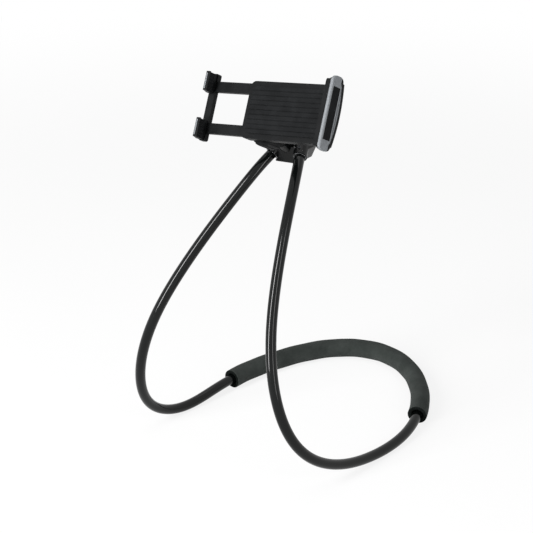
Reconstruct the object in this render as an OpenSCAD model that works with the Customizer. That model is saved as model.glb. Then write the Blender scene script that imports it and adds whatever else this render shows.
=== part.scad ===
// Neck phone holder: a bendable hose loop with a foam sleeve, a bridge block and a spring phone clip.
// Frame: millimetres, +Z up, -Y is the front, origin at the bottom centre of the whole holder.

/* [Hose loop] */
// Outer diameter of the hose sheath
hose_d = 10; // [9:0.5:10.5]
// Diameter of the soft metal core inside the sheath
core_d = 6; // [4:0.5:7]
// Width that the hose route is drawn to
loop_w = 222; // [200:2:240]
// Depth that the hose route is drawn to
loop_d = 302; // [270:2:330]
// Height of the last bends of the hose, just before the bridge block
mouth_h = 288.8; // [260:0.2:310]
// Distance between the last bends of the two hose ends
mouth_pitch = 36.2; // [34:0.2:40]
// Place of the last bends along the depth
mouth_y = -42.2; // [-48:0.2:-38]
// Straight run of hose from its last bend to the socket in the block
socket_at = 6.5; // [5:0.5:9]
// Angle by which each hose end leans inwards into the bridge
end_turn = 22; // [15:1:28]
// Angle by which each hose end rises into the bridge
end_rise = 33; // [30:1:38]
// Sideways roll of the bridge block, its right side up
block_roll = 6; // [0:1:10]

/* [Foam sleeve] */
// Outer diameter of the foam sleeve
foam_d = 20; // [18:0.5:22]
// Bore of the foam sleeve
foam_bore_d = 11.4; // [11:0.2:13]

/* [Bridge block] */
// Width of the bridge block at its top
block_top_w = 40; // [36:1:46]
// Width of the bridge block at its bottom
block_bottom_w = 28; // [20:1:30]
// Height of the bridge block
block_h = 15.6; // [14:0.2:20]
// Depth of the bridge block, front to back
block_d = 22; // [20:0.5:24]
// Distance from the last bends of the hose back to the block's front
block_set = 5.5; // [4:0.5:8]
// Length of the crimped ferrule on each hose end
ferrule_len = 12; // [10:0.5:14]
// Wall of the ferrule
ferrule_wall = 0.6; // [0.5:0.1:0.9]
// Wall of the socket that holds a ferrule
socket_wall = 1.2; // [1:0.1:1.6]

/* [Ball joint] */
// Diameter of the ball
ball_d = 16; // [15:0.5:17]
// Diameter of the neck under the ball
neck_d = 5; // [4:0.2:5.2]
// Distance from the block's top to the centre of the ball, along the stud
stud_reach = 27.5; // [24:0.1:32]
// Forward lean of the ball stud
stud_lean = 47; // [40:1:50]
// Diameter of the stud's shank
shank_d = 5; // [4:0.5:5]
// Thickness of the nylon liner round the ball
liner_t = 1; // [0.8:0.1:1.4]
// Outer diameter of the socket boss on the clip
boss_d = 24; // [23:0.5:26]
// Outer diameter of the lock nut
nut_d = 32; // [30:0.5:36]

/* [Clip pose] */
// Turn of the clip about the upright axis
clip_yaw = -9.5; // [-16:0.5:0]
// Backward lean of the clip, negative leans back
clip_tilt = -29.2; // [-34:0.2:-22]
// Turn of the clip in its own plane
clip_roll = -11.4; // [-20:0.1:0]

/* [Clip] */
// Opening between the jaw pad and the claw pads at rest
grip_gap = 143.2; // [136:0.1:146]
// Depth of the slot between the front pad and the lips
slot_depth = 8.4; // [8:0.2:12]
// Distance from the ball's centre to the front pad's face
grip_back = 21.6; // [21:0.1:26]
// Height of the slot's middle above the ball's centre
slot_rise = 15.4; // [12:0.1:17]
// Sideways place of the slot's middle from the ball's centre
slot_x = 6.5; // [5:0.1:9]
// Length of the clip's housing
housing_l = 99.5; // [97:0.5:101]
// Height of the clip's housing
housing_h = 54; // [50:1:60]
// Wall of the clip's housing
housing_wall = 1.8; // [1.4:0.1:2.4]
// Thickness of the front cover
cover_t = 1.8; // [1.4:0.1:2.4]
// Thickness of the rubber sheet on the cover
front_pad_t = 1.8; // [1.2:0.1:2.4]
// Clear depth inside the housing, where the slider runs
bay_t = 5.6; // [5.4:0.1:6.4]

/* [Wide jaw] */
// Length of the wide jaw
jaw_len = 67; // [64:1:76]
// Thickness of the jaw block, from the grip side to the outer side
jaw_t = 4.6; // [4.4:0.1:6]
// Wall of the satin jaw shell
shell_wall = 1.1; // [1:0.1:1.5]
// How far the satin shell's front starts outside the grip opening
shell_start = 4.3; // [3.8:0.1:4.6]
// How far the lips reach over the front of what is held
lip_reach = 1.8; // [1.5:0.1:3]
// Thickness of the lips, front to back
lip_t = 1.6; // [1.4:0.1:2.4]
// How far the rear edge of the jaw swells at its middle
jaw_bulge = 4; // [2:0.5:6]
// Width of the black rim that shows behind the satin shell
rim_w = 2.2; // [1.5:0.1:3]
// Length of the dark inset in the outer side of the jaw
inset_len = 47.5; // [40:0.5:54]
// Width of the dark inset
inset_w = 8.4; // [6:0.2:9]

/* [Claws and slider] */
// Length of one claw
claw_len = 18; // [16:1:22]
// Distance between the middles of the two claws
claw_pitch = 44.3; // [42:0.1:50]
// Thickness of a claw at its root, from the grip side to the outer side
claw_t = 6.5; // [6:0.5:8]
// Thickness of a claw at its front
claw_tip_t = 1.8; // [1.6:0.1:3]
// Height of one slider rail
rail_h = 10; // [8:0.5:11]
// How far the claws slide outwards from rest
open_travel = 15; // [5:1:18]
// How far the claws slide inwards from rest
close_travel = 42; // [36:1:42]
// Thickness of the rubber grips on jaw and claws
grip_t = 1.2; // [1:0.1:1.6]
// Coil diameter of the return springs, outside
spring_d = 4.8; // [4:0.1:5]
// Wire of the return springs
spring_wire = 1; // [0.8:0.1:1.1]
// Turns of each return spring
spring_turns = 18; // [12:1:20]

/* [Hidden] */
$fn = 48;

// Clearances and the one overrun of all cuts
over = 1;
fit_gap = 0.05;
run_gap = 0.1;
free_gap = 0.3;

// Hose: shares of half the width, of the depth and of the mouth height, from the left side round to the right
route_share = [
    [-0.765, -0.507, 0.493], [-1.02, -0.436, 0.099], [-0.94, -0.252, 0], [-0.86, -0.103, 0.035],
    [-0.85, 0.038, 0.035], [-0.76, 0.179, 0.035], [-0.605, 0.322, 0.035], [-0.34, 0.440, 0.035],
    [-0.015, 0.482, 0.034], [0.36, 0.438, 0.035], [0.67, 0.332, 0.034], [0.91, 0.188, 0.0385],
    [1, 0.046, 0.02], [0.95, -0.119, 0.0125], [0.875, -0.330, 0.063], [0.73, -0.498, 0.218],
    [0.49, -0.487, 0.552]
];
end_run = 24;
foam_from_share = 0.285;
foam_to_share = 0.65;
hose_steps = 7;
hose_sides = 14;
core_sides = 8;
foam_sides = 20;
foam_steps = 40;
bore_sides = 16;
bore_more = 0.04;
sheath_play = 0.2;

function unit(v) = v / norm(v);
// A direction or offset of the bridge block, rolled with it
function rolled(v) = [
    v[0] * cos(block_roll) - v[2] * sin(block_roll), v[1], v[0] * sin(block_roll) + v[2] * cos(block_roll)
];
function into(side) = rolled([
    -side * cos(end_rise) * sin(end_turn), cos(end_rise) * cos(end_turn), sin(end_rise)
]);
function mouth(side) = [0, mouth_y, mouth_h] + rolled([side * mouth_pitch / 2, 0, 0]);

route = concat(
    [mouth(-1) + end_run * into(-1), mouth(-1), mouth(-1) - end_run * into(-1)],
    [for (s = route_share) [s[0] * loop_w / 2, s[1] * loop_d, s[2] * mouth_h]],
    [mouth(1) - end_run * into(1), mouth(1), mouth(1) + end_run * into(1)]
);
spans = len(route) - 3;

// A point of the smooth curve that the route's points pull, t from 0 to spans
function weights(u) = [pow(1 - u, 3), 3 * pow(u, 3) - 6 * pow(u, 2) + 4,
    -3 * pow(u, 3) + 3 * pow(u, 2) + 3 * u + 1, pow(u, 3)] / 6;
function curve(t) = let (i = min(floor(t), spans - 1), w = weights(t - i))
    w[0] * route[i] + w[1] * route[i + 1] + w[2] * route[i + 2] + w[3] * route[i + 3];
function curve_part(from, to, n) = [for (i = [0 : n]) curve(from + (to - from) * i / n)];

hose_end = socket_at + ferrule_len - ferrule_wall - fit_gap;
hose_path = concat(
    [mouth(-1) + hose_end * into(-1)],
    curve_part(0, spans, spans * hose_steps),
    [mouth(1) + hose_end * into(1)]
);
function foam_part(more) = curve_part(foam_from_share * spans - more, foam_to_share * spans + more, foam_steps);
foam_path = foam_part(0);

// A tube of one radius along a path: a ring of points at each path point, turned as little as possible
function tangents(p) = [for (i = [0 : len(p) - 1]) unit(p[min(i + 1, len(p) - 1)] - p[max(i - 1, 0)])];
function across(n, t) = unit(n - (n * t) * t);
function normals(t) = [
    for (i = 0, n = across([0, 0, 1], t[0]); i < len(t); i = i + 1, n = i < len(t) ? across(n, t[i]) : n) n
];
module tube(path, r, sides) {
    t = tangents(path);
    n = normals(t);
    last = len(path) - 1;
    points = [
        for (i = [0 : last], j = [0 : sides - 1])
            path[i] + r * (cos(360 * j / sides) * n[i] + sin(360 * j / sides) * cross(t[i], n[i]))
    ];
    walls = [
        for (i = [0 : last - 1], j = [0 : sides - 1])
            let (a = i * sides + j, b = i * sides + (j + 1) % sides)
                each [[a, a + sides, b + sides], [a, b + sides, b]]
    ];
    caps = [[for (j = [0 : sides - 1]) j], [for (j = [sides - 1 : -1 : 0]) last * sides + j]];
    polyhedron(points, concat(walls, caps));
}

// Plain shapes that several pieces share
function arc(c, r, a0, a1, n) = [
    for (i = [0 : n]) let (a = a0 + (a1 - a0) * i / n) c + r * [cos(a), sin(a)]
];
function round_rect(w, h, r) = concat(
    arc([w / 2 - r, h / 2 - r], r, 0, 90, 5), arc([r - w / 2, h / 2 - r], r, 90, 180, 5),
    arc([r - w / 2, r - h / 2], r, 180, 270, 5), arc([w / 2 - r, r - h / 2], r, 270, 360, 5)
);
// Extrudes an outline drawn in x and z from y0 back to y1
module slab(y0, y1) translate([0, y1, 0]) rotate([90, 0, 0]) linear_extrude(y1 - y0) children();
// Extrudes an outline drawn in y and z from x0 to x1
module slice(x0, x1) translate([x0, 0, 0]) rotate([90, 0, 90]) linear_extrude(x1 - x0) children();

// Places: a hose end, the ball stud and the clip
module at_block() translate([0, 0, mouth_h]) rotate([0, -block_roll, 0]) children();
module at_mouth(side) translate(mouth(side) + socket_at * into(side)) rotate([0, -block_roll, 0])
    rotate([0, 90 - end_rise, 90 + side * end_turn]) children();

// Heights in the block are counted from the middle between the last bends of the hose
block_under = 3.6;
block_top = block_h - block_under;
block_round = 3;
stud_set = 8.2;
block_front = mouth_y + block_set;
stud_foot_y = mouth_y + stud_set;
ball_in_block = [0, stud_foot_y - stud_reach * sin(stud_lean), block_top + stud_reach * cos(stud_lean)];
ball_at = [0, 0, mouth_h] + rolled(ball_in_block);
module at_stud() at_block() translate(ball_in_block) rotate([stud_lean, 0, 0]) children();
module at_clip() translate(ball_at) rotate([0, 0, clip_yaw]) rotate([clip_tilt, 0, 0])
    rotate([0, clip_roll, 0]) children();
// The clip's spin axis: the child's +Z points away from the phone
module on_axis() rotate([-90, 0, 0]) children();
// The middle of the slot's height
module at_slot() translate([0, 0, slot_rise]) children();

// Depths of the clip, from the lips in front to the back of the housing
face_y = -grip_back;
cover_y = face_y + front_pad_t;
bay_y = cover_y + cover_t;
floor_t = 1.6;
floor_y = bay_y + bay_t;
back_y = floor_y + floor_t;
lip_y = face_y - slot_depth;

// Places along the clip, from the claws at the left to the jaw at the right
jaw_x = slot_x + grip_gap / 2;
claw_x = slot_x - grip_gap / 2;
jaw_block_x = jaw_x + grip_t;
claw_block_x = claw_x - grip_t;
housing_x = jaw_block_x - housing_l;
end_wall = 6.5;
bay_end_x = jaw_block_x - end_wall;
housing_mid_x = (jaw_block_x + housing_x) / 2;
housing_round = 6;

// Hose
module gooseneck_sheath() color("#0c0f10") difference() {
    tube(hose_path, hose_d / 2, hose_sides);
    tube(concat(
        [hose_path[0] + over * into(-1)],
        [for (i = [1 : len(hose_path) - 2]) hose_path[i]],
        [hose_path[len(hose_path) - 1] + over * into(1)]
    ), core_d / 2 + sheath_play, core_sides);
}
module gooseneck_core() color("#8d9093") tube(hose_path, core_d / 2, core_sides);

module foam_sleeve() color("#3a3e3c") difference() {
    tube(foam_path, foam_d / 2, foam_sides);
    tube(foam_part(bore_more), foam_bore_d / 2, bore_sides);
}

// Ferrules
ferrule_d = hose_d + 2 * fit_gap + 2 * ferrule_wall;
module ferrule(side) at_mouth(side) color("#9a9c9e") difference() {
    cylinder(h = ferrule_len, d = ferrule_d);
    translate([0, 0, -over]) cylinder(h = ferrule_len - ferrule_wall + over, d = hose_d + 2 * fit_gap);
    translate([0, 0, -over]) cylinder(h = ferrule_len + 2 * over, d = core_d);
}
module left_ferrule() ferrule(-1);
module right_ferrule() ferrule(1);

// Bridge block
set_screw_d = 3;
nut_pocket_at = 36;
stud_collar_at = 15;
stud_collar_t = 2.5;
stud_collar_d = 11;
washer_t = 0.8;
stud_nut_t = 4;
stud_nut_d = 9.2;
module set_screw_place(side) at_mouth(side)
    translate([0, 0, ferrule_len / 2]) rotate([0, -90, 0]) translate([0, 0, ferrule_d / 2]) children();
module bridge_outline() {
    w = block_top_w / 2;
    b = block_bottom_w / 2;
    r = block_round;
    polygon(concat(
        arc([w - r, block_top - r], r, 0, 90, 5), arc([r - w, block_top - r], r, 90, 180, 5),
        arc([r - b, r - block_under], r, 200, 270, 5), arc([b - r, r - block_under], r, 270, 340, 5)
    ));
}
module bridge_block() color("#141617") difference() {
    union() {
        at_block() slab(block_front, block_front + block_d) bridge_outline();
        for (side = [-1, 1]) at_mouth(side)
            cylinder(h = ferrule_len + socket_wall, d = ferrule_d + 2 * socket_wall);
        at_stud() translate([0, 0, -stud_reach - stud_collar_d / 2])
            cylinder(h = stud_reach + stud_collar_d / 2 - stud_collar_at - stud_collar_t,
                d = stud_collar_d + 2 * socket_wall);
    }
    for (side = [-1, 1]) at_mouth(side) {
        translate([0, 0, -block_d]) cylinder(h = ferrule_len + block_d, d = ferrule_d + 2 * fit_gap);
        translate([0, 0, -block_d]) cylinder(h = block_d, d = ferrule_d + 2 * socket_wall);
    }
    for (side = [-1, 1]) set_screw_place(side) cylinder(h = block_d, d = set_screw_d);
    at_stud() translate([0, 0, -nut_pocket_at - block_d]) {
        cylinder(h = nut_pocket_at + block_d, d = shank_d + 2 * fit_gap);
        cylinder(h = block_d, d = stud_nut_d + 4 * free_gap);
    }
}
module set_screws() color("#3b3d3f") for (side = [-1, 1]) set_screw_place(side)
    translate([0, 0, fit_gap]) difference() {
        cylinder(h = 4 * ferrule_wall, d = set_screw_d - 2 * fit_gap);
        translate([0, 0, 2 * ferrule_wall]) cylinder(h = 4 * ferrule_wall, d = set_screw_d / 2, $fn = 6);
    }

// Ball stud and its nut
module ball_stud() color("#b9bcbf") at_stud() {
    sphere(d = ball_d, $fn = 64);
    translate([0, 0, -stud_collar_at - stud_collar_t]) {
        cylinder(h = stud_collar_at, d = neck_d);
        cylinder(h = stud_collar_t, d = stud_collar_d, $fn = 6);
    }
    translate([0, 0, -stud_collar_at]) cylinder(h = stud_collar_t, d1 = 1.6 * neck_d, d2 = neck_d);
    translate([0, 0, -nut_pocket_at - washer_t - stud_nut_t - over])
        cylinder(h = nut_pocket_at + washer_t + stud_nut_t + over - stud_collar_at - stud_collar_t / 2,
            d = shank_d);
}
module stud_ring(at, t, d, sides) at_stud() translate([0, 0, -nut_pocket_at - at - t]) difference() {
    cylinder(h = t, d = d, $fn = sides);
    translate([0, 0, -over]) cylinder(h = t + 2 * over, d = shank_d + 2 * fit_gap);
}
module stud_washer() color("#b9bcbf") stud_ring(0, washer_t, stud_nut_d, 48);
module stud_nut() color("#a5a8ab") stud_ring(washer_t, stud_nut_t, stud_nut_d, 6);

// Liner and lock nut, turned about the clip's axis
ball_r = ball_d / 2;
liner_in_r = ball_r + run_gap;
liner_out_r = liner_in_r + liner_t;
cup_r = liner_out_r + run_gap;
mouth_half_angle = 60;
lip_in = cup_r * cos(mouth_half_angle);
mouth_r = cup_r * sin(mouth_half_angle);
nut_lip_t = 1.6;
module ball_liner() color("#e6e2d6") at_clip() on_axis() difference() {
    intersection() {
        sphere(r = liner_out_r, $fn = 64);
        translate([0, 0, -0.7 * ball_r]) cylinder(h = 0.7 * ball_r + lip_in - 2 * run_gap, r = ball_d);
    }
    sphere(r = liner_in_r, $fn = 64);
    for (a = [0 : 60 : 120]) rotate([0, 0, a]) translate([-ball_d, -liner_t / 2, -liner_t])
        cube([2 * ball_d, liner_t, ball_d]);
}
nut_start = back_y + 2 * free_gap;
nut_end = lip_in + nut_lip_t;
module lock_nut() color("#17191a") at_clip() on_axis() difference() {
    union() {
        translate([0, 0, nut_start]) cylinder(h = nut_end - nut_lip_t - nut_start, d = nut_d);
        translate([0, 0, nut_end - nut_lip_t]) cylinder(h = nut_lip_t, d1 = nut_d, d2 = nut_d - 2 * nut_lip_t);
    }
    translate([0, 0, nut_start - over]) cylinder(h = over + free_gap - nut_start, d = boss_d + 2 * run_gap);
    sphere(r = cup_r, $fn = 64);
    cylinder(h = nut_end + over, r = mouth_r);
    translate([0, 0, lip_in]) cylinder(h = nut_lip_t + fit_gap, r1 = mouth_r, r2 = mouth_r + nut_lip_t);
    for (a = [0 : 18 : 342]) rotate([0, 0, a])
        translate([nut_d / 2 + nut_lip_t / 4, 0, nut_start - over])
            cylinder(h = nut_end + 2 * over - nut_start, r = 0.6 * nut_lip_t, $fn = 16);
}

// Clip housing
screw_d = 2.2;
screw_head_d = 4.2;
post_d = 6;
screw_xs = [housing_x + post_d, housing_mid_x, bay_end_x - 2 * post_d / 3];
anchor_l = 3;
rail_out = housing_h / 2 - housing_wall - free_gap;
rail_in = rail_out - rail_h;
spring_z = rail_in - spring_d / 2 - 2 * free_gap;
jaw_rear_y = back_y - floor_t - fit_gap;
jaw_screw_y = cover_y + screw_head_d / 2 + free_gap;
module spring_places() for (s = [-1, 1]) translate([0, 0, s * spring_z]) children();
module housing_outline() translate([housing_mid_x, 0]) polygon(round_rect(housing_l, housing_h, housing_round));
module clip_base() color("#151718") at_clip() difference() {
    union() {
        at_slot() difference() {
            union() {
                slab(bay_y, back_y) housing_outline();
                slab(cover_y, bay_y) intersection() {
                    housing_outline();
                    translate([bay_end_x, -housing_h / 2]) square([end_wall, housing_h]);
                }
            }
            slab(bay_y - over, floor_y) translate([housing_x + housing_wall, housing_wall - housing_h / 2])
                square([bay_end_x - housing_x - housing_wall, housing_h - 2 * housing_wall]);
            for (s = [-1, 1]) slab(bay_y - over, floor_y)
                translate([housing_x - over, (s > 0 ? rail_in : -rail_out) - free_gap])
                    square([2 * housing_wall + over, rail_h + 2 * free_gap]);
            for (s = [-1, 1]) translate([jaw_block_x + over, jaw_screw_y, s * jaw_len / 8]) rotate([0, -90, 0])
                cylinder(h = end_wall, d = screw_d);
        }
        at_slot() for (x = screw_xs) translate([x, floor_y + floor_t / 2, 0]) rotate([90, 0, 0])
            cylinder(h = bay_t + floor_t / 2, d = post_d);
        at_slot() slab(bay_y + free_gap, floor_y + floor_t / 2) for (s = [-1, 1])
            translate([bay_end_x - anchor_l, s * spring_z - spring_d / 2]) square([anchor_l + over, spring_d]);
        on_axis() translate([0, 0, floor_y]) cylinder(h = -floor_y, d = boss_d);
    }
    at_slot() for (x = screw_xs) translate([x, bay_y - over, 0]) rotate([-90, 0, 0])
        cylinder(h = bay_t + over, d = screw_d);
    on_axis() sphere(r = cup_r, $fn = 64);
}
module clip_cover() color("#151718") at_clip() at_slot() difference() {
    slab(cover_y, bay_y - fit_gap) intersection() {
        housing_outline();
        translate([housing_x, -housing_h / 2]) square([bay_end_x - fit_gap - housing_x, housing_h]);
    }
    for (x = screw_xs) translate([x, cover_y - over, 0]) rotate([-90, 0, 0]) {
        cylinder(h = cover_t + 2 * over, d = screw_d + 2 * free_gap);
        cylinder(h = over + cover_t / 2, d = screw_head_d + 2 * free_gap);
    }
}
module screw(l) {
    cylinder(h = l, d = screw_d - 2 * fit_gap);
    difference() {
        translate([0, 0, -cover_t / 2 + fit_gap]) cylinder(h = cover_t / 2 - fit_gap, d = screw_head_d);
        translate([0, 0, -cover_t]) cylinder(h = cover_t * 0.8, d = screw_d, $fn = 6);
    }
}
module cover_screws() color("#6d7073") at_clip() at_slot() for (x = screw_xs)
    translate([x, cover_y + cover_t / 2, 0]) rotate([-90, 0, 0]) screw(bay_t);
pad_margin = 5;
module front_pad() color("#1d1f20") at_clip() at_slot() difference() {
    slab(face_y, cover_y) translate([(housing_x + jaw_x) / 2, 0])
        polygon(round_rect(jaw_x - housing_x - 2 * pad_margin, housing_h - 2 * pad_margin, housing_round));
    for (z = [-4 : 4]) translate([0, face_y, z * front_pad_t * 2.5]) rotate([0, 90, 0])
        translate([0, 0, housing_x]) cylinder(h = jaw_x - housing_x, r = front_pad_t / 3, $fn = 4);
}

// Wide jaw
jaw_out_x = jaw_block_x + jaw_t;
shell_x = jaw_x + shell_start;
shell_out_x = jaw_out_x + run_gap + shell_wall;
lip_out_y = lip_y - lip_t;
shell_proud = 0.4;
shell_front_y = lip_out_y - shell_proud;
shell_back_y = jaw_rear_y - rim_w;
shell_round = 1.6;
shell_step_y = shell_front_y + shell_wall + run_gap;
small_round = 0.7;
end_round = 5;
jaw_half = jaw_len / 2;
block_half = jaw_half - shell_wall - run_gap;
// Points of a rear edge in y and z that swells backwards, from z = half down to z = -half
function swell(rear, half) = [
    for (i = [0 : 12]) let (z = half * (1 - i / 6)) [rear - jaw_bulge * pow(z / jaw_half, 2), z]
];
// An outline in y and z with round corners and a swelling rear edge
function barrel(front, rear, half, r) = let (edge = swell(rear, half - r), y1 = edge[0][0] - r) concat(
    arc([front + r, half - r], r, 180, 90, 5), arc([y1, half - r], r, 90, 0, 5),
    [for (i = [1 : 11]) edge[i]],
    arc([y1, r - half], r, 0, -90, 5), arc([front + r, r - half], r, 270, 180, 5)
);
rim_set = 0.3;
rim_half = jaw_half - end_round;
module rim_outline() {
    inner = swell(shell_back_y + run_gap, rim_half);
    polygon(concat(swell(jaw_rear_y - rim_set, rim_half), [for (i = [12 : -1 : 0]) inner[i]]));
}
module jaw_screw_places() for (s = [-1, 1])
    translate([jaw_out_x, jaw_screw_y, s * jaw_len / 8]) rotate([0, -90, 0]) children();
module jaw_block() color("#101213") at_clip() at_slot() difference() {
    union() {
        intersection() {
            translate([0, 0, -jaw_half]) linear_extrude(jaw_len) polygon(concat(
                [[jaw_block_x, back_y], [jaw_block_x, lip_y], [jaw_x - lip_reach, lip_y]],
                arc([jaw_x - lip_reach + small_round, lip_out_y + small_round], small_round, 180, 270, 4),
                [[shell_x - run_gap, lip_out_y], [shell_x - run_gap, shell_step_y]],
                arc([jaw_out_x - small_round, shell_step_y + small_round], small_round, 270, 360, 4),
                [[jaw_out_x, back_y]]
            ));
            slice(jaw_x - 2 * lip_reach, shell_out_x)
                polygon(barrel(lip_out_y - run_gap, jaw_rear_y, block_half, end_round + shell_wall));
        }
        slice(jaw_out_x - shell_wall, shell_out_x - fit_gap) rim_outline();
    }
    jaw_screw_places() translate([0, 0, -over]) {
        cylinder(h = jaw_t + 2 * over, d = screw_d + 2 * fit_gap);
        cylinder(h = jaw_t / 2 + over, d = screw_head_d + 2 * free_gap);
    }
}
module jaw_screws() color("#6d7073") at_clip() at_slot() jaw_screw_places()
    translate([0, 0, jaw_t / 2]) screw(jaw_t / 2 + end_wall - 2 * over);
inset_set = 1.3;
inset_y = shell_front_y + inset_set + inset_w / 2;
rib_at = 2;
rib_r = 0.5;
module shell_section(x_in, x_out, front, r, back) polygon(concat(
    [[x_in, back], [x_in, front]], arc([x_out - r, front + r], r, 270, 360, 6), [[x_out, back]]
));
module jaw_shell() color("#8b8e90") at_clip() at_slot() difference() {
    intersection() {
        difference() {
            translate([0, 0, -jaw_half]) linear_extrude(jaw_len)
                shell_section(shell_x, shell_out_x, shell_front_y, shell_round, jaw_rear_y);
            intersection() {
                translate([0, 0, -jaw_half]) linear_extrude(jaw_len)
                    shell_section(jaw_x, shell_out_x - shell_wall, shell_front_y + shell_wall,
                        shell_round - shell_wall, back_y + end_round);
                slice(jaw_x - over, shell_out_x) polygon(barrel(shell_front_y + shell_wall - fit_gap,
                    back_y + end_round, jaw_half - shell_wall, end_round - shell_wall));
            }
        }
        slice(jaw_x, shell_out_x + over) polygon(barrel(shell_front_y, shell_back_y, jaw_half, end_round));
    }
    slice(jaw_out_x - over, shell_out_x + over) translate([inset_y, 0])
        polygon(round_rect(inset_w, inset_len, small_round));
    translate([shell_out_x + rib_r / 4, inset_y + inset_w / 2 + rib_at, 0])
        cylinder(h = jaw_len + 2 * over, r = rib_r, center = true, $fn = 4);
}
module jaw_inset() color("#0a0b0c") at_clip() at_slot() slice(jaw_out_x + fit_gap, shell_out_x - shell_wall / 3)
    translate([inset_y, 0]) polygon(round_rect(inset_w - 2 * fit_gap, inset_len - 2 * fit_gap, small_round));
pad_rib = 0.5;
// A strip of rubber with fine ribs along the slot's height, its flat side at x = 0
module ribbed_strip(t, y0, y1, half, n) slab(y0, y1) polygon(concat(
    [[0, -half]], [for (i = [0 : 2 * n]) [t - (i % 2) * pad_rib, -half + i * half / n]], [[0, half]]
));
jaw_pad_end = 4;
module jaw_pad() color("#26282a") at_clip() at_slot() translate([jaw_block_x - fit_gap, 0, 0]) mirror([1, 0, 0])
    ribbed_strip(grip_t - fit_gap, lip_y + free_gap, face_y - free_gap, jaw_len / 2 - jaw_pad_end, 20);

// Slider and claws
claw_out_x = claw_block_x - claw_t;
claw_tip_x = claw_block_x - claw_tip_t;
slider_play = 0.4;
slider_y0 = bay_y + slider_play;
slider_y1 = floor_y - slider_play;
cross_round = 2;
lug_l = 5;
lug_x = housing_x + housing_wall + open_travel + free_gap;
rail_end_x = bay_end_x - close_travel - 3 * free_gap;
module claw_places() for (s = [-1, 1]) translate([0, 0, s * claw_pitch / 2]) children();
// On the axis of a claw's screw, a step behind the slider's back
module claw_screw_place(behind) translate([claw_out_x + claw_t / 2, slider_y1 + behind, 0])
    rotate([90, 0, 0]) children();
module slider_frame() color("#131516") at_clip() at_slot() difference() {
    slab(slider_y0, slider_y1) union() {
        translate([(claw_out_x + claw_x) / 2, 0])
            polygon(round_rect(claw_x - claw_out_x, claw_pitch + claw_len + cross_round, cross_round));
        for (s = [0, 1]) mirror([0, s]) {
            translate([claw_block_x, rail_in]) square([rail_end_x - claw_block_x, rail_h]);
            translate([lug_x, spring_z - spring_d / 2])
                square([lug_l, rail_in - spring_z + spring_d / 2 + over]);
        }
    }
    claw_places() claw_screw_place(over) {
        cylinder(h = slider_y1 - slider_y0 + 2 * over, d = screw_d + 2 * fit_gap);
        cylinder(h = cover_t / 2 + over, d = screw_head_d + 2 * free_gap);
    }
}
trim_set = 1;
trim_w = 1.4;
trim_t = 0.6;
trim_end = 1.5;
trim_len = claw_len - 2 * trim_end;
claw_screw_l = 8;
claw_root_y = slider_y0 - claw_screw_l / 2;
module claw(s) at_clip() at_slot() translate([0, 0, s * claw_pitch / 2]) difference() {
    translate([0, 0, -claw_len / 2]) linear_extrude(claw_len) polygon(concat(
        [[claw_block_x, slider_y0], [claw_block_x, lip_y], [claw_x + lip_reach, lip_y]],
        arc([claw_x + lip_reach - small_round, lip_out_y + small_round], small_round, 360, 270, 4),
        arc([claw_tip_x + small_round, lip_out_y + small_round], small_round, 270, 180, 4),
        [[claw_tip_x, lip_y], [claw_out_x, claw_root_y], [claw_out_x, slider_y0]]
    ));
    claw_screw_place(slider_y0 - slider_y1 + over) cylinder(h = claw_screw_l + over, d = screw_d);
    translate([claw_tip_x + trim_set, lip_out_y - over, -trim_len / 2]) cube([trim_w, over + trim_t, trim_len]);
}
module upper_claw() color("#111314") claw(1);
module lower_claw() color("#111314") claw(-1);
module claw_screws() color("#6d7073") at_clip() at_slot() claw_places()
    claw_screw_place(-cover_t / 2) screw(claw_screw_l);
module claw_trims() color("#c4c8ca") at_clip() at_slot() claw_places()
    translate([claw_tip_x + trim_set + fit_gap, lip_out_y - trim_t / 3, fit_gap - trim_len / 2])
        cube([trim_w - 2 * fit_gap, trim_t * 4 / 3 - fit_gap, trim_len - 2 * fit_gap]);
module claw_pads() color("#26282a") at_clip() at_slot() claw_places()
    translate([claw_block_x + fit_gap, 0, 0])
        ribbed_strip(grip_t - fit_gap, lip_y + free_gap, face_y - free_gap, claw_len / 2 - small_round, 6);

// Return springs: a straight wire's width at each end, then even turns
spring_from = lug_x + lug_l + free_gap;
spring_to = bay_end_x - anchor_l - free_gap;
spring_r = (spring_d - spring_wire) / 2;
spring_run = spring_to - spring_from - 2 * spring_wire;
coil_steps = 8 * spring_turns;
function coil(t) = let (a = 360 * spring_turns * t)
    [spring_from + spring_wire + t * spring_run, spring_r * cos(a), spring_r * sin(a)];
spring_path = concat(
    [[spring_from, spring_r, 0]], [for (i = [0 : coil_steps]) coil(i / coil_steps)], [[spring_to, spring_r, 0]]
);
least_gap = spring_run / spring_turns - spring_wire;
echo(least_spring_gap = least_gap);
module return_springs() color("#b0b3b6") at_clip() at_slot() spring_places()
    translate([0, (bay_y + floor_y) / 2, 0]) tube(spring_path, spring_wire / 2, 6);

gooseneck_sheath();
gooseneck_core();
foam_sleeve();
left_ferrule();
right_ferrule();
bridge_block();
set_screws();
ball_stud();
stud_washer();
stud_nut();
ball_liner();
lock_nut();
clip_base();
clip_cover();
cover_screws();
front_pad();
jaw_block();
jaw_screws();
jaw_shell();
jaw_inset();
jaw_pad();
slider_frame();
upper_claw();
lower_claw();
claw_screws();
claw_trims();
claw_pads();
return_springs();
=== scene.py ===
import math

import bmesh
import bpy
from mathutils import Matrix, Vector


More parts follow.
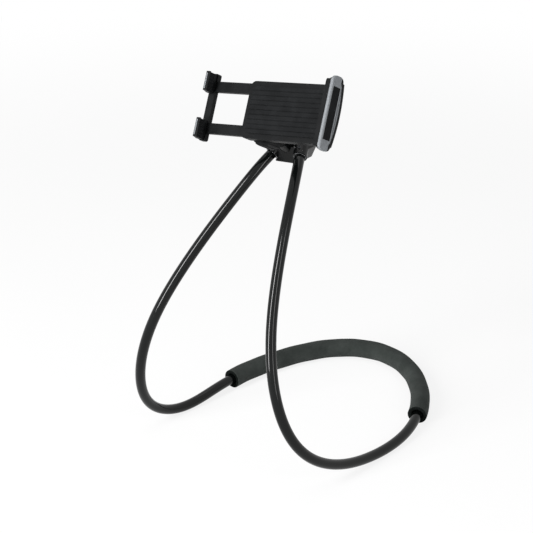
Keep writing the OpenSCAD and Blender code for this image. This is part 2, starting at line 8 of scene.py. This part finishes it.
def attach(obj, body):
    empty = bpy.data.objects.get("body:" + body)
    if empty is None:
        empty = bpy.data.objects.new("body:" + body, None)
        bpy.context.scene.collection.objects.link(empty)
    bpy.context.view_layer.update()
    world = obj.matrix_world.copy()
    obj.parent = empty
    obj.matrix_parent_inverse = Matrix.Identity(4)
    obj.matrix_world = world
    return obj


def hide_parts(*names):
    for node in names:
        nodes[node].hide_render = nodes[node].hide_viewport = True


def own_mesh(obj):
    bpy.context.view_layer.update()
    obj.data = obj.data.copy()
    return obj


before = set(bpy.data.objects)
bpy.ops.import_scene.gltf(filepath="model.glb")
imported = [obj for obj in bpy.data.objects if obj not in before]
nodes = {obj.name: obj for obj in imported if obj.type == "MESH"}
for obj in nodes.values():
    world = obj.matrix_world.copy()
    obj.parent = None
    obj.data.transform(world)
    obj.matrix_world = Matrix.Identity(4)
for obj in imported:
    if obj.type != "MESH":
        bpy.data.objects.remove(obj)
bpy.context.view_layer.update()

print("frame loaded:", len(nodes), "nodes")

# the view of the photograph, in metres; the lens and the square sensor in mm
view = {
    "place": (0.848284, -1.206990, 0.846242),
    "target": (0.035024, -0.114527, 0.216940),
    "lens": 112.37,
    "sensor": 36,
    "clip": (0.05, 30),
}


def turnTowards(thing, place, target):
    thing.location = place
    look = Vector(target) - Vector(place)
    thing.rotation_euler = look.to_track_quat("-Z", "Y").to_euler()


def setCamera():
    data = bpy.data.cameras.new("viewCamera")
    data.lens = view["lens"]
    data.sensor_width = view["sensor"]
    data.sensor_fit = "AUTO"
    data.clip_start, data.clip_end = view["clip"]
    camera = bpy.data.objects.new("viewCamera", data)
    turnTowards(camera, view["place"], view["target"])
    bpy.context.scene.collection.objects.link(camera)
    bpy.context.scene.camera = camera


setCamera()


# materials
def toLinear(hexColour):
    parts = [int(hexColour[i:i + 2], 16) / 255 for i in (1, 3, 5)]
    return tuple(c / 12.92 if c <= 0.04045 else ((c + 0.055) / 1.055) ** 2.4 for c in parts) + (1,)


def newMaterial(name, **sockets):
    material = bpy.data.materials.new(name)
    material.use_nodes = True
    shader = material.node_tree.nodes["Principled BSDF"]
    for socket, value in sockets.items():
        shader.inputs[socket.replace("_", " ")].default_value = value
    return material, material.node_tree, shader


def addNode(tree, kind, links=None, values=None, **settings):
    node = tree.nodes.new(kind)
    for key, value in settings.items():
        setattr(node, key, value)
    for socket, value in (values or {}).items():
        node.inputs[socket].default_value = value
    for socket, source in (links or {}).items():
        tree.links.new(source, node.inputs[socket])
    return node


def perMetre(sizeMm):
    return 1000 / sizeMm


def onObject(tree):
    return addNode(tree, "ShaderNodeTexCoord").outputs["Object"]


def addNoise(tree, where, scale, detail, **more):
    values = {"Scale": scale, "Detail": detail, **more}
    return addNode(tree, "ShaderNodeTexNoise", {"Vector": where}, values).outputs["Fac"]


def addCells(tree, where, scale):
    cells = addNode(tree, "ShaderNodeTexVoronoi", {"Vector": where}, {"Scale": scale})
    return cells.outputs["Distance"]


def paint(tree, shader, factor, colours):
    ramp = addNode(tree, "ShaderNodeValToRGB", {"Fac": factor})
    for element, place, colour in zip(ramp.color_ramp.elements, (0.35, 0.65), colours):
        element.position = place
        element.color = toLinear(colour)
    tree.links.new(ramp.outputs["Color"], shader.inputs["Base Color"])


def roughen(tree, shader, factor, low, high):
    spread = addNode(tree, "ShaderNodeMapRange", {"Value": factor}, {"To Min": low, "To Max": high})
    tree.links.new(spread.outputs["Result"], shader.inputs["Roughness"])


def raiseSurface(tree, shader, height, depthMm, strength):
    bump = addNode(tree, "ShaderNodeBump", {"Height": height},
                   {"Strength": strength, "Distance": depthMm / 1000})
    tree.links.new(bump.outputs["Normal"], shader.inputs["Normal"])


def makeHoseSkin():
    # extruded black silicone hose: near-black under a wet-looking skin that draws long pale streaks
    material, tree, shader = newMaterial(
        "extrudedBlackSiliconeHose", IOR=1.45, Specular_IOR_Level=0.28)
    # clouds of 33 mm
    mottle = addNoise(tree, onObject(tree), 30, 3)
    paint(tree, shader, mottle, ("#040505", "#080a0a"))
    roughen(tree, shader, mottle, 0.09, 0.13)
    return material


def makeFoam():
    # cut closed-cell EVA foam: dull charcoal, with a fine open grain and slow patches of shade
    material, tree, shader = newMaterial(
        "closedCellEvaFoam", Roughness=0.95, Sheen_Weight=0.03, Sheen_Roughness=0.6,
        Specular_IOR_Level=0.1)
    where = onObject(tree)
    # patches of 22 mm, cells of 0.9 mm
    patches = addNoise(tree, where, 45, 5, Roughness=0.6)
    paint(tree, shader, patches, ("#2b2f2d", "#383c3a"))
    raiseSurface(tree, shader, addCells(tree, where, perMetre(0.9)), 0.25, 0.6)
    return material


def makeFoamEndShade():
    # knife-cut end of the same foam, painted almost black: painted shade on the end face and in the bore
    material, tree, shader = newMaterial("foamEndPaintedShade", Roughness=1.0, Specular_IOR_Level=0.02)
    paint(tree, shader, addCells(tree, onObject(tree), perMetre(0.7)), ("#0b0d0c", "#191c1b"))
    return material


def makeMoulded(name, colours, roughness, grainMm, depthMm, gloss):
    material, tree, shader = newMaterial(name, IOR=1.53, Specular_IOR_Level=gloss)
    where = onObject(tree)
    grain = addNoise(tree, where, perMetre(grainMm), 2)
    # wear in patches of 11 mm
    wear = addNoise(tree, where, 90, 4)
    paint(tree, shader, wear, colours)
    roughen(tree, shader, wear, *roughness)
    raiseSurface(tree, shader, grain, depthMm, 0.5)
    return material


def makeSatin(name, colours, roughness):
    material, tree, shader = newMaterial(name, Metallic=0.7)
    turned = addNode(tree, "ShaderNodeMapping", {"Vector": onObject(tree)}, {"Scale": (1, 1, 0.04)})
    # lines 0.56 mm apart
    lines = addNoise(tree, turned.outputs["Vector"], 1800, 3)
    paint(tree, shader, lines, colours)
    roughen(tree, shader, lines, *roughness)
    raiseSurface(tree, shader, lines, 0.04, 0.4)
    return material


def makeMetal(name, colours, roughness, scratchMm):
    material, tree, shader = newMaterial(name, Metallic=1.0)
    marks = addNoise(tree, onObject(tree), perMetre(scratchMm), 3)
    paint(tree, shader, marks, colours)
    roughen(tree, shader, marks, *roughness)
    return material


hoseSkin = makeHoseSkin()
foam = makeFoam()
# near-black painted shade for the foam sleeve's end faces and bore
foamEndShade = makeFoamEndShade()
# satin silver lacquer on a moulded shell: mid grey with a broad soft gleam and fine lines along it
satinSilver = makeSatin("satinSilverLacquer", ("#75787b", "#8b8e91"), (0.68, 0.8))
# moulded ABS, polished tool: near-black with a clear gloss
glossAbs = makeMoulded("polishedBlackAbs", ("#050606", "#090a0b"), (0.2, 0.3), 0.8, 0.02, 0.18)
# moulded ABS, spark-eroded tool: black with a fine dull grain
grainedAbs = makeMoulded("sparkGrainedBlackAbs", ("#090a0b", "#101112"), (0.42, 0.55), 0.45, 0.05, 0.1)
# moulded thermoplastic rubber: soft charcoal black with hardly any gloss
gripRubber = makeMoulded("mouldedGripRubber", ("#101112", "#18191a"), (0.7, 0.85), 0.6, 0.06, 0.08)
# natural nylon: warm ivory with a waxy gloss
nylon = makeMoulded("naturalNylon", ("#d8d2c0", "#e6e2d4"), (0.35, 0.45), 0.7, 0.02, 0.5)
# turned and nickel-plated steel: bright with fine tool marks
nickelSteel = makeMetal("turnedNickelSteel", ("#a9abad", "#c3c5c7"), (0.18, 0.3), 0.5)
# blackened screw steel: dark with a soft metal gleam
blackSteel = makeMetal("blackenedScrewSteel", ("#2c2d2f", "#414345"), (0.35, 0.5), 0.4)
# crimped aluminium: pale and slightly rough
crimpedAluminium = makeMetal("crimpedAluminium", ("#8f9193", "#a8aaac"), (0.35, 0.5), 0.6)
print("materials made")


# shared mesh code
def newObject(name, builder, material, body):
    mesh = bpy.data.meshes.new(name)
    builder.to_mesh(mesh)
    builder.free()
    for face in mesh.polygons:
        face.use_smooth = True
    piece = bpy.data.objects.new(name, mesh)
    bpy.context.scene.collection.objects.link(piece)
    mesh.materials.append(material)
    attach(piece, body)
    return piece


def framesAlong(path):
    last = len(path) - 1
    tangents = [(path[min(i + 1, last)] - path[max(i - 1, 0)]).normalized() for i in range(last + 1)]
    normal = Vector((0, 0, 1))
    frames = []
    for point, tangent in zip(path, tangents):
        normal = (normal - normal.dot(tangent) * tangent).normalized()
        frames.append((point, tangent, normal, tangent.cross(normal)))
    return frames


def addRing(builder, place, radiusAt, sides, along=0):
    point, tangent, normal, side = place
    ring = []
    for j in range(sides):
        a = 2 * math.pi * j / sides
        out = math.cos(a) * normal + math.sin(a) * side
        ring.append(builder.verts.new(point + radiusAt(a) * out + along * tangent))
    return ring


def joinRings(builder, low, high):
    count = len(low)
    return [builder.faces.new((low[j], low[(j + 1) % count], high[(j + 1) % count], high[j]))
            for j in range(count)]


def sweep(builder, path, radiusAt, sides):
    # radiusAt takes the share of the path and the angle round it
    frames = framesAlong(path)
    last = len(path) - 1
    rings = [addRing(builder, place, lambda a: radiusAt(i / last, a), sides)
             for i, place in enumerate(frames)]
    for low, high in zip(rings, rings[1:]):
        joinRings(builder, low, high)
    return (rings[0], frames[0]), (rings[-1], frames[-1])


def sweepRod(builder, path, radius, sides):
    (first, _), (last, _) = sweep(builder, path, lambda s, a: radius, sides)
    builder.faces.new(first[::-1])
    builder.faces.new(last)


# the bendable hose; its two ends sit in the bridge block
hose = {
    "diameter": 0.010,
    "width": 0.222,
    "depth": 0.302,
    "mouthHeight": 0.2888,
    "mouthPitch": 0.0362,
    "mouthY": -0.0422,
    "endTurn": 22,
    "endRise": 33,
    "blockRoll": 6,
    "endRun": 0.024,
    "insideSocket": 0.01785,
    # shares of half the width, of the depth and of the mouth height, as in the solid model
    "shares": [
        (-0.765, -0.507, 0.493), (-1.02, -0.436, 0.099), (-0.94, -0.252, 0), (-0.86, -0.103, 0.035),
        (-0.85, 0.038, 0.035), (-0.76, 0.179, 0.035), (-0.605, 0.322, 0.035), (-0.34, 0.440, 0.035),
        (-0.015, 0.482, 0.034), (0.36, 0.438, 0.035), (0.67, 0.332, 0.034), (0.91, 0.188, 0.0385),
        (1, 0.046, 0.02), (0.95, -0.119, 0.0125), (0.875, -0.330, 0.063), (0.73, -0.498, 0.218),
        (0.49, -0.487, 0.552)],
    "steps": 480,
    "sides": 64,
}


def rolled(v):
    a = math.radians(hose["blockRoll"])
    return Vector((v[0] * math.cos(a) - v[2] * math.sin(a), v[1],
                   v[0] * math.sin(a) + v[2] * math.cos(a)))


def intoBlock(side):
    turn, rise = math.radians(hose["endTurn"]), math.radians(hose["endRise"])
    flat = math.cos(rise)
    return rolled((-side * flat * math.sin(turn), flat * math.cos(turn), math.sin(rise)))


def hoseMouth(side):
    middle = Vector((0, hose["mouthY"], hose["mouthHeight"]))
    return middle + rolled((side * hose["mouthPitch"] / 2, 0, 0))


def makeRoute():
    left, right, run = hoseMouth(-1), hoseMouth(1), hose["endRun"]
    half, depth, height = hose["width"] / 2, hose["depth"], hose["mouthHeight"]
    middle = [Vector((x * half, y * depth, z * height)) for x, y, z in hose["shares"]]
    return ([left + run * intoBlock(-1), left, left - run * intoBlock(-1)] + middle
            + [right - run * intoBlock(1), right, right + run * intoBlock(1)])


route = makeRoute()
spans = len(route) - 3


def onRoute(t):
    # uniform cubic B-spline, one unit of t per span
    i = min(int(t), spans - 1)
    u = t - i
    weights = ((1 - u) ** 3, 3 * u ** 3 - 6 * u ** 2 + 4, -3 * u ** 3 + 3 * u ** 2 + 3 * u + 1, u ** 3)
    return sum((route[i + k] * weights[k] / 6 for k in range(4)), Vector())


def makeHose():
    path = [hoseMouth(-1) + hose["insideSocket"] * intoBlock(-1)]
    path += [onRoute(spans * i / hose["steps"]) for i in range(hose["steps"] + 1)]
    path += [hoseMouth(1) + hose["insideSocket"] * intoBlock(1)]
    builder = bmesh.new()
    sweepRod(builder, path, hose["diameter"] / 2, hose["sides"])
    piece = newObject("hoseSkin", builder, hoseSkin, "hose_loop")
    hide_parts("gooseneck_sheath")


# the foam sleeve over the nape
sleeve = {
    "diameter": 0.020,
    "bore": 0.0114,
    # shares of the route
    "from": 0.285,
    "to": 0.657,
    # the skin lies this much inside the full size, so that the swells stay within it
    "slack": 0.00022,
    # height, and radians of wave along the sleeve; the first one's crests also wander round it
    "swells": ((0.00012, 61), (0.0001, 23)),
    "wander": 2,
    # shares of the sleeve
    "creases": (0.431, 0.4385, 0.446, 0.4535),
    "creaseWidth": 0.0016,
    "creaseDepth": 0.00022,
    # shares of a crease's depth that are even and that change round the sleeve
    "creaseChange": (0.6, 0.4),
    # rounded cut lip, off the full radius, then flat ring and bore, off the bore: radius, past the end
    "lip": ((-0.0005, 0.0003), (-0.0012, 0.0004)),
    "mouth": ((0.0006, 0.0003), (0, -0.0004), (0, -0.012)),
    "steps": 800,
    "sides": 48,
}


def sleeveSkin(s, a):
    (high, waves), (low, slow) = sleeve["swells"]
    even, change = sleeve["creaseChange"]
    swell = high * math.sin(waves * s + sleeve["wander"] * math.sin(a)) + low * math.sin(slow * s + a)
    creases = sum(math.exp(-((s - at) / sleeve["creaseWidth"]) ** 2) for at in sleeve["creases"])
    drop = sleeve["slack"] + sleeve["creaseDepth"] * creases * (even + change * math.cos(a))
    return sleeve["diameter"] / 2 + swell - drop


def makeFoamSleeve():
    start, end = sleeve["from"] * spans, sleeve["to"] * spans
    steps, sides = sleeve["steps"], sleeve["sides"]
    path = [onRoute(start + (end - start) * i / steps) for i in range(steps + 1)]
    profile = [(sleeve["diameter"] / 2 + off, past) for off, past in sleeve["lip"]]
    profile += [(sleeve["bore"] / 2 + off, past) for off, past in sleeve["mouth"]]
    builder = bmesh.new()
    ends = sweep(builder, path, sleeveSkin, sides)
    for (ring, place), sign in zip(ends, (-1, 1)):
        last = ring
        for radius, past in profile:
            after = addRing(builder, place, lambda a: radius, sides, sign * past)
            pair = (last, after) if sign > 0 else (after, last)
            for face in joinRings(builder, *pair):
                # the flat end ring and the bore take the near-black painted shade, the rounded lip keeps
                # the foam
                face.material_index = 0 if last is ring else 1
            last = after
    bmesh.ops.recalc_face_normals(builder, faces=builder.faces)
    piece = newObject("foamNeckSleeve", builder, foam, "hose_loop")
    piece.data.materials.append(foamEndShade)
    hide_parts("foam_sleeve")


makeHose()
makeFoamSleeve()
print("hose and foam made")

# rigid pieces: material, and the width of the softened edges in mm
finish = {
    "gooseneck_core": (crimpedAluminium, 0),
    "left_ferrule": (crimpedAluminium, 0),
    "right_ferrule": (crimpedAluminium, 0),
    "bridge_block": (glossAbs, 0.5),
    "set_screws": (blackSteel, 0),
    "ball_stud": (nickelSteel, 0),
    "stud_washer": (nickelSteel, 0),
    "stud_nut": (nickelSteel, 0.2),
    "ball_liner": (nylon, 0),
    "lock_nut": (grainedAbs, 0.3),
    "clip_base": (grainedAbs, 0.5),
    "clip_cover": (grainedAbs, 0.3),
    "cover_screws": (blackSteel, 0),
    "front_pad": (gripRubber, 0.25),
    "jaw_block": (grainedAbs, 0.4),
    "jaw_screws": (blackSteel, 0),
    "jaw_shell": (satinSilver, 0.4),
    "jaw_inset": (gripRubber, 0.2),
    "jaw_pad": (gripRubber, 0.15),
    "slider_frame": (grainedAbs, 0.5),
    "upper_claw": (grainedAbs, 0.35),
    "lower_claw": (grainedAbs, 0.35),
    "claw_screws": (blackSteel, 0),
    # the claw trims are satin silver strips standing for the pale highlight line along each claw's black
    # front: a painted highlight
    "claw_trims": (satinSilver, 0.15),
    "claw_pads": (gripRubber, 0.15),
    "return_springs": (nickelSteel, 0),
}


# merge distance in m, bevel segments, and the least angle in degrees of an edge that is softened
softening = {"merge": 0.000002, "segments": 3, "angle": 32, "faceWeight": 100}


def softenEdges(piece, edgeMm):
    weld = piece.modifiers.new("weld", "WELD")
    weld.merge_threshold = softening["merge"]
    if edgeMm:
        bevel = piece.modifiers.new("softEdges", "BEVEL")
        bevel.width = edgeMm / 1000
        bevel.segments = softening["segments"]
        bevel.limit_method = "ANGLE"
        bevel.angle_limit = math.radians(softening["angle"])
        bevel.use_clamp_overlap = True
    normals = piece.modifiers.new("evenShading", "WEIGHTED_NORMAL")
    normals.keep_sharp = False
    normals.weight = softening["faceWeight"]


for name, (material, edgeMm) in finish.items():
    nodes[name].data.materials.clear()
    nodes[name].data.materials.append(material)
    softenEdges(nodes[name], edgeMm)
print("rigid pieces dressed")

# the clip's own axes: along the phone, into the phone, across the phone
clip = {
    "ball": (-0.003215, -0.054112, 0.319386),
    "turns": (("Z", -9.5), ("X", -29.2), ("Y", -11.4)),
    "rise": 0.0154,
}


def clipPlace(x, y, z):
    spot = Vector((x, y, z + clip["rise"]))
    for axis, turn in reversed(clip["turns"]):
        spot = Matrix.Rotation(math.radians(turn), 3, axis) @ spot
    return Vector(clip["ball"]) + spot


# what the photograph shows on the outer side of the wide jaw, laid on it as thin strips
jaw = {
    "outerX": 0.0851,
    "proud": 0.00012,
    "sunk": 0.0004,
    "half": 0.0335,
    "endRound": 0.005,
    "rearY": -0.01465,
    "bulge": 0.004,
    "insetFrontY": -0.0296,
    "insetRearY": -0.0201,
    "insetHalf": 0.0237,
    "insetRound": 0.0007,
    "openingFrontY": -0.03072,
    "edgeWidth": 0.0013,
    "rearShadeHalf": 0.0326,
    "rearShadePast": 0.0001,
    "shadeFrom": 0.0242,
    "shadeTo": 0.0275,
    "grooveShadeY": -0.0179,
    "grooveShadeWidth": 0.00045,
    "grooveShadeWave": 0.00022,
    "grooveShadePitch": 0.0044,
    "grooveShadeHalf": 0.0245,
    "edgeMm": 0.06,
    "steps": 96,
    "grooveShadeSteps": 220,
}


def rearOf(z):
    # the shell's swelling rear edge, with its round corners
    straight = jaw["half"] - jaw["endRound"]
    past = max(0, abs(z) - straight)
    edge = jaw["rearY"] - jaw["bulge"] * (min(abs(z), straight) / jaw["half"]) ** 2
    return edge - jaw["endRound"] + math.sqrt(max(0, jaw["endRound"] ** 2 - past ** 2))


def makeStrip(name, half, edges, material, high=jaw["proud"], steps=jaw["steps"]):
    # edges gives the strip's front and rear at a height on the jaw
    low = -jaw["sunk"]
    builder = bmesh.new()
    rows = []
    for i in range(steps + 1):
        z = -half + 2 * half * i / steps
        near, far = edges(z)
        corners = ((low, near), (high, near), (high, far), (low, far))
        rows.append([builder.verts.new(clipPlace(jaw["outerX"] + x, y, z)) for x, y in corners])
    for row, after in zip(rows, rows[1:]):
        joinRings(builder, row, after)
    builder.faces.new(rows[0][::-1])
    builder.faces.new(rows[-1])
    bmesh.ops.recalc_face_normals(builder, faces=builder.faces)
    softenEdges(newObject(name, builder, material, "clip"), jaw["edgeMm"])


def insetEdges(z):
    past = max(0, abs(z) - jaw["insetHalf"] + jaw["insetRound"])
    drawn = jaw["insetRound"] - math.sqrt(max(0, jaw["insetRound"] ** 2 - past ** 2))
    return jaw["insetFrontY"] + drawn, jaw["insetRearY"] - drawn


def lipEdges(z):
    return jaw["openingFrontY"], jaw["insetFrontY"]


# painted shade: a black strip along the shell's rear edge, widening towards the jaw's ends to cover the
# side behind the inset
def rearShadeEdges(z):
    share = min(1, max(0, (abs(z) - jaw["shadeFrom"]) / (jaw["shadeTo"] - jaw["shadeFrom"])))
    share = share * share * (3 - 2 * share)
    rear = rearOf(z)
    near = (1 - share) * (rear - jaw["edgeWidth"]) + share * jaw["insetRearY"]
    return min(near, rear - jaw["rearShadePast"]), rear + jaw["rearShadePast"]


# painted shade: a thin dark wavy strip standing for the shadow in a groove between two ridges of the shell
def grooveShadeEdges(z):
    middle = jaw["grooveShadeY"] + jaw["grooveShadeWave"] * math.sin(2 * math.pi * z / jaw["grooveShadePitch"])
    middle = min(middle, rearOf(z) - jaw["edgeWidth"] - jaw["grooveShadeWidth"])
    return middle - jaw["grooveShadeWidth"] / 2, middle + jaw["grooveShadeWidth"] / 2


makeStrip("jawInsetFace", jaw["insetHalf"], insetEdges, gripRubber)
makeStrip("jawInsetLip", jaw["insetHalf"], lipEdges, satinSilver, high=0)
# painted shade where the shell's rounded rear and ends turn away from the light
makeStrip("jawRearPaintedShade", jaw["rearShadeHalf"], rearShadeEdges, grainedAbs)
# painted shade of the groove behind the inset
makeStrip("jawWavyGrooveShade", jaw["grooveShadeHalf"], grooveShadeEdges, gripRubber, jaw["proud"] / 2, jaw["grooveShadeSteps"])
print("jaw strips made")

# the two return springs, drawn as fixed coils; the real ones shorten when the slider closes
coils = {
    "turns": 18,
    "outside": 0.0048,
    "wire": 0.001,
    "from": 0.0022,
    "to": 0.0695,
    "apart": 0.0238,
    "middleY": -0.0152,
    "closing": 0.042,
    "stepsPerTurn": 24,
    "sides": 12,
}


def coilPath(side):
    radius = (coils["outside"] - coils["wire"]) / 2
    start, end = coils["from"] + coils["wire"], coils["to"] - coils["wire"]
    steps = coils["stepsPerTurn"] * coils["turns"]
    spots = [(coils["from"], radius, 0)]
    for i in range(steps + 1):
        a = 2 * math.pi * coils["turns"] * i / steps
        spots.append((start + (end - start) * i / steps, radius * math.cos(a), radius * math.sin(a)))
    spots.append((coils["to"], radius, 0))
    return [clipPlace(x, coils["middleY"] + y, side * coils["apart"] / 2 + z) for x, y, z in spots]


def makeReturnCoils():
    builder = bmesh.new()
    for side in (-1, 1):
        sweepRod(builder, coilPath(side), coils["wire"] / 2, coils["sides"])
    piece = newObject("returnCoils", builder, nickelSteel, "clip")
    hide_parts("return_springs")
    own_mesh(piece)


makeReturnCoils()
print("return springs made")

# floor and light
light = {
    "sky": 0.26,
    "floor": "#fcfcfc",
    "floorHalf": 60,
    # share of plain white that the eye sees in the floor, up to 0.6 m from the middle; all of it past 1.5 m
    "floorGlow": 0.82,
    "sheetFade": (0.6, 1.5),
    "white": (1, 1, 1, 1),
    # place, target, width, height, watts
    "lamps": [
        ("frontStrip", (-0.42, -1.80, 0.85), (0, 0, 0.2), 0.36, 1.7, 58),
        ("sideStrip", (1.74, -0.64, 0.80), (0, 0, 0.2), 0.3, 1.6, 12),
        ("overhead", (-0.2, 0.1, 2.2), (0, 0, 0.1), 1.8, 1.8, 8),
    ],
}


def addMath(tree, operation, first, second):
    return addNode(tree, "ShaderNodeMath", {0: first, 1: second}, operation=operation).outputs[0]


def seenRays(tree):
    # 1 for what the camera, a reflection or a clear surface looks at, 0 for light that falls on things
    rays = addNode(tree, "ShaderNodeLightPath").outputs
    first = addMath(tree, "MAXIMUM", rays["Is Camera Ray"], rays["Is Glossy Ray"])
    return addMath(tree, "MAXIMUM", first, rays["Is Transmission Ray"])


def mixInto(tree, output, share, first, second):
    mix = addNode(tree, "ShaderNodeMixShader", {0: share, 1: first.outputs[0], 2: second.outputs[0]})
    tree.links.new(mix.outputs[0], tree.nodes[output].inputs["Surface"])


def setFloor():
    size = light["floorHalf"]
    mesh = bpy.data.meshes.new("floor")
    corners = [(-size, -size, 0), (size, -size, 0), (size, size, 0), (-size, size, 0)]
    mesh.from_pydata(corners, [], [(0, 1, 2, 3)])
    floor = bpy.data.objects.new("floor", mesh)
    bpy.context.scene.collection.objects.link(floor)
    # plain matt studio sheet, kept near white to the eye while it still takes the shadow
    material, tree, shader = newMaterial("mattStudioSheet", Roughness=0.9, Specular_IOR_Level=0.1)
    shader.inputs["Base Color"].default_value = toLinear(light["floor"])
    glow = addNode(tree, "ShaderNodeEmission", None, {"Strength": 1.0})
    # the sheet runs out into the white background well away from the object
    place = addNode(tree, "ShaderNodeNewGeometry").outputs["Position"]
    away = addNode(tree, "ShaderNodeVectorMath", {0: place}, operation="LENGTH").outputs["Value"]
    near, far = light["sheetFade"]
    rise = addNode(tree, "ShaderNodeMapRange", {"Value": away},
                   {"From Min": near, "From Max": far, "To Min": light["floorGlow"], "To Max": 1.0},
                   interpolation_type="SMOOTHSTEP")
    share = addMath(tree, "MULTIPLY", seenRays(tree), rise.outputs["Result"])
    mixInto(tree, "Material Output", share, shader, glow)
    mesh.materials.append(material)


def setWorld():
    world = bpy.data.worlds.new("studioWorld")
    bpy.context.scene.world = world
    world.use_nodes = True
    tree = world.node_tree
    fill = tree.nodes["Background"]
    fill.inputs["Color"].default_value = light["white"]
    fill.inputs["Strength"].default_value = light["sky"]
    white = addNode(tree, "ShaderNodeBackground", None, {"Color": light["white"], "Strength": 1.0})
    mixInto(tree, "World Output", seenRays(tree), fill, white)


def setLamps():
    for name, place, target, width, height, watts in light["lamps"]:
        data = bpy.data.lights.new(name, "AREA")
        data.shape = "RECTANGLE"
        data.size, data.size_y = width, height
        data.energy = watts
        lamp = bpy.data.objects.new(name, data)
        turnTowards(lamp, place, target)
        bpy.context.scene.collection.objects.link(lamp)


setFloor()
setWorld()
setLamps()
bpy.context.scene.view_settings.view_transform = "Standard"
print("floor and light set")
